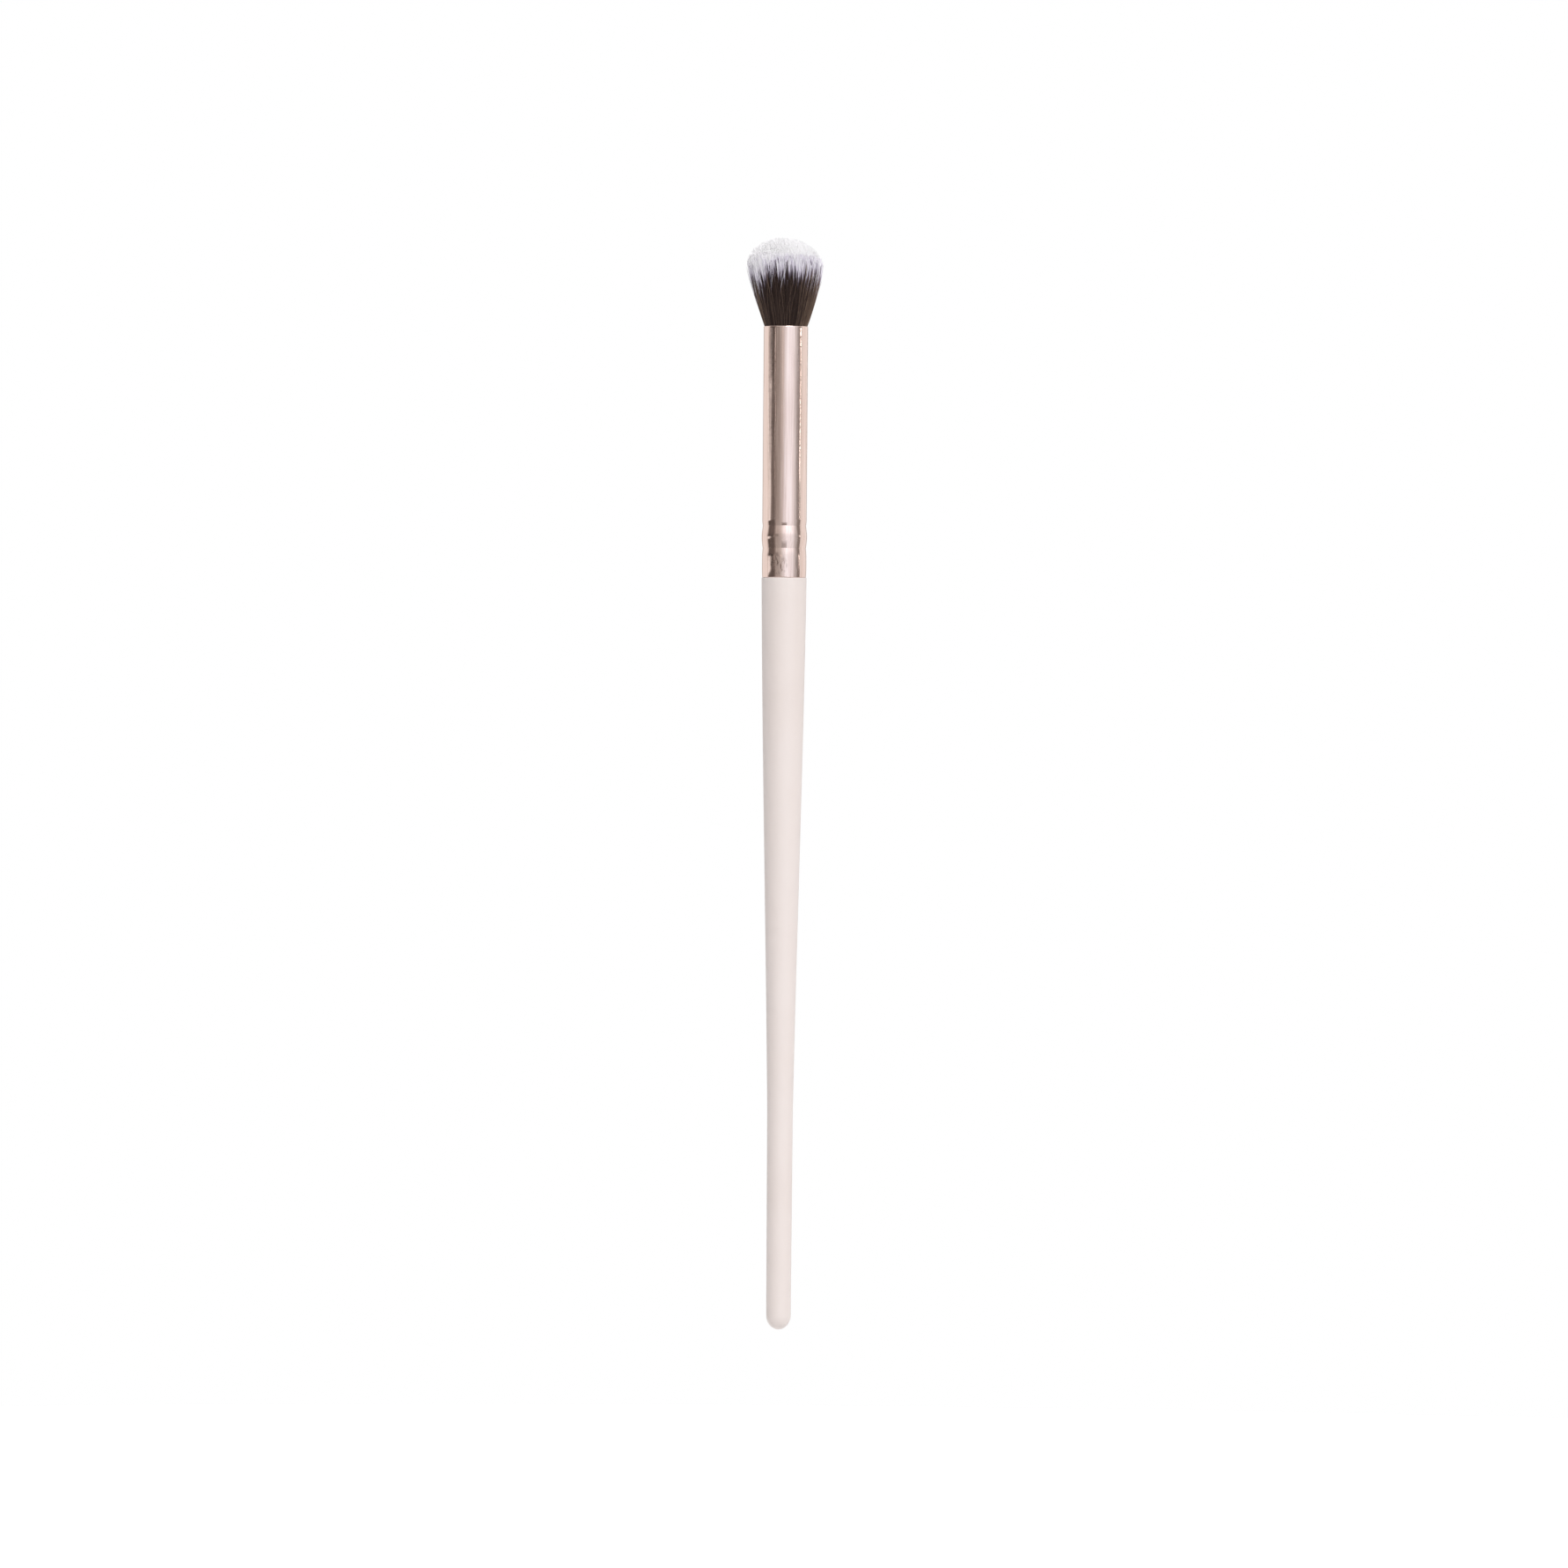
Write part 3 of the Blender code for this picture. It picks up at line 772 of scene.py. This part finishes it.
radius = add(tuft, MATH, opening, given["Belly Radius"], operation="MULTIPLY")
height_share = add(tuft, RANGE, level, 0.0, 14 * MM, 0.0, 1.0)
growth = add(tuft, MATH, height_share, 1.4, operation="POWER")
clinging = add(tuft, MATH, growth, given["Cling"], operation="MULTIPLY")
gathered = add(tuft, "ShaderNodeMix", clinging, place, lock["Position"], data_type="VECTOR")
own_twist = add(tuft, MATH, other["X"], given["Twist"], operation="MULTIPLY")
twisted = add(tuft, MATH, own_twist, growth, operation="MULTIPLY")
turned = add(tuft, "ShaderNodeVectorRotate", gathered, Angle=twisted, rotation_type="Z_AXIS")
spread = add(tuft, VECTOR, turned, Scale=radius, operation="SCALE")
# Each filament also waves a little, in a phase of its own.
phase = add(tuft, MATH, other["Y"], math.tau, operation="MULTIPLY")
wave_turn = add(tuft, MATH, along, 6.0, phase, operation="MULTIPLY_ADD")
wave = add(tuft, MATH, wave_turn, operation="SINE")
swing = add(tuft, MATH, wave, 0.3, 1.0, operation="MULTIPLY_ADD")
wandering = add(tuft, MATH, growth, given["Wander"], operation="MULTIPLY")
drift = add(tuft, MATH, wandering, swing, operation="MULTIPLY")
drifted = add(tuft, VECTOR, sway, Scale=drift, operation="SCALE")
# The whole tuft leans 0.4 mm to the left by the time it reaches the dome.
height_squared = add(tuft, MATH, height_share, height_share, operation="MULTIPLY")
lean = add(tuft, MATH, height_squared, -0.4 * MM, operation="MULTIPLY")
world_height = add(tuft, MATH, level, given["Mouth Height"])
lifted = add(tuft, "ShaderNodeCombineXYZ", lean, 0.0, world_height)
path = add(tuft, VECTOR, add(tuft, VECTOR, spread, drifted), lifted)
moved = add(tuft, "GeometryNodeSetPosition", strands, Position=path)
print("outline through", len(OUTLINE), "points")

# %% [markdown]
# Each filament now gets its thickness. It swells from its foot to 60% of the tuft's height and thins
# only a little over its last seventh, so the tips stay blunt and close the dome. It also gets two
# numbers that its material reads: the height of its dye line, and how light its brown is, partly its
# own and partly painted side light. A lock took up the dye as one, so its filaments share most of
# their dye line. The line sits lower at the two sides of the tuft than in front and behind, and the
# brown is lighter on the right and left flanks. Both are painted side light, which makes the flanks
# paler as if they were lit from the sides.

# %% Thickness, dye line and tone
point_off = add(tuft, RANGE, along, 0.85, 1.0, 1.0, 0.9, interpolation_type="SMOOTHSTEP")
swell = add(tuft, RANGE, height_share, 0.0, 0.6, 0.6, 1.0)
half = add(tuft, MATH, given["Thickness"], 0.5, operation="MULTIPLY")
slimming = add(tuft, MATH, point_off, swell, operation="MULTIPLY")
thick = add(tuft, MATH, half, slimming, operation="MULTIPLY")
own_dye = add(tuft, RANGE, chance["Y"], 0.0, 1.0, -0.8 * MM, 0.8 * MM)
lock_dye = add(tuft, RANGE, lock_chance["X"], 0.0, 1.0, -1.3 * MM, 1.3 * MM)
# Painted side light: the dye line sits lower at the tuft's two sides, so the flanks look whiter.
sideways = add(tuft, MATH, rightwards, -0.08)
sideways_squared = add(tuft, MATH, sideways, sideways, operation="MULTIPLY")
side_light_drop = add(tuft, MATH, sideways_squared, given["Side Drop"], operation="MULTIPLY")
dye_level_with_side_light = add(tuft, MATH, given["Dye Height"], side_light_drop, operation="SUBTRACT")
dyed = add(tuft, MATH, add(tuft, MATH, own_dye, lock_dye), dye_level_with_side_light)
dye_line = add(tuft, MATH, dyed, given["Mouth Height"])
marked = add(tuft, "GeometryNodeStoreNamedAttribute", moved, Name="dye_line", Value=dye_line)
own_tone = add(tuft, MATH, chance["Z"], lock_chance["Y"], operation="MULTIPLY")
# Painted side light: filaments on the right and left flanks get a lighter brown, and a whole piece of
# strays or flyaways is lifted further as painted glints.
right_painted_light = add(tuft, RANGE, rightwards, 0.35, 0.95, 0.0, 0.7)
left_painted_light = add(tuft, RANGE, rightwards, -0.75, -1.0, 0.0, 0.55)
side_painted_light = add(tuft, MATH, right_painted_light, add(tuft, MATH, left_painted_light, given["Painted_Glint"]))
tone_with_painted_light = add(tuft, MATH, own_tone, side_painted_light)
toned = add(tuft, "GeometryNodeStoreNamedAttribute", marked, Name="tone_and_painted_light", Value=tone_with_painted_light)
section = add(tuft, "GeometryNodeCurvePrimitiveCircle", 3, 1.0)
solid = add(tuft, "GeometryNodeCurveToMesh", toned, section, Scale=thick, Fill_Caps=True)
smooth = add(tuft, "GeometryNodeSetShadeSmooth", solid)
real = add(tuft, "GeometryNodeRealizeInstances", smooth)
add(tuft, "NodeGroupOutput", add(tuft, "GeometryNodeSetMaterial", real, Material=given["Finish"]))
print("tuft tree:", len(tuft.nodes), "nodes")

# %% [markdown]
# One tree makes everything: the tuft from its middle outwards, in four pieces to keep each mesh
# small, then strays and flyaways that lie over the outside. Real filament of this kind is about
# 0.07 mm thick. Here it is 0.11 mm, so that 15,600 filaments fill the tuft. The inner pieces have
# lower dye lines, so that no dark fibre shows between the white tips from above. Strays and flyaways
# are thin and twisted, and many are broken short. Strays are a little paler and flyaways more so, as
# painted glints, and flyaways are palest at the two sides, as painted side light.

# %% Fibres and strays
WHOLE_TUFT, IN_A_PIECE, STRAYS, FLYAWAYS = 15600, 3900, 260, 70
common = dict(
    Whole_Tuft=WHOLE_TUFT,
    Seed=7,
    Root_Height=MOUTH - 1.35 * MM,
    Mouth_Height=MOUTH,
    Belly_Height=9.7 * MM,
    Dome_Height=4.5 * MM,
    Belly_Radius=FULL_RADIUS * MM,
    Shortest=1.0,
    Thickness=0.11 * MM,
    Wander=0.3 * MM,
    Twist=0.03,
    Locks=24.0,
    Cling=0.35,
    Dye_Height=8.8 * MM,
    Side_Drop=1.6 * MM,
    Painted_Glint=0.0,
    Finish=filament,
)
stray = dict(
    First=WHOLE_TUFT - STRAYS,
    Count=STRAYS,
    Seed=23,
    Belly_Radius=6.2 * MM,
    Shortest=0.4,
    Thickness=0.05 * MM,
    Wander=0.4 * MM,
    Twist=0.8,
    Cling=0.0,
    Dye_Height=7.9 * MM,
    Painted_Glint=0.1,
)
flyaway = dict(
    First=WHOLE_TUFT - FLYAWAYS,
    Count=FLYAWAYS,
    Seed=41,
    Belly_Radius=6.25 * MM,
    Shortest=0.4,
    Thickness=0.045 * MM,
    Wander=0.5 * MM,
    Twist=0.7,
    Cling=0.0,
    Dye_Height=8.2 * MM,
    Side_Drop=3.8 * MM,
    Painted_Glint=0.4,
)
pieces = [
    ("tuft_core", dict(First=0, Count=IN_A_PIECE, Dye_Height=3 * MM)),
    ("tuft_inner", dict(First=IN_A_PIECE, Count=IN_A_PIECE, Dye_Height=4.5 * MM)),
    ("tuft_middle", dict(First=2 * IN_A_PIECE, Count=IN_A_PIECE, Dye_Height=7 * MM)),
    ("tuft_outside", dict(First=3 * IN_A_PIECE, Count=IN_A_PIECE)),
    ("tuft_strays", stray),
    ("tuft_flyaways", flyaway),
]
for name, changes in pieces:
    start = bpy.data.meshes.new("seed")
    piece = grow(name, tuft, start, "tuft_fibre", **{**common, **changes})
    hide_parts("bristles")
    snooted.light_linking.receiver_collection.objects.link(piece)
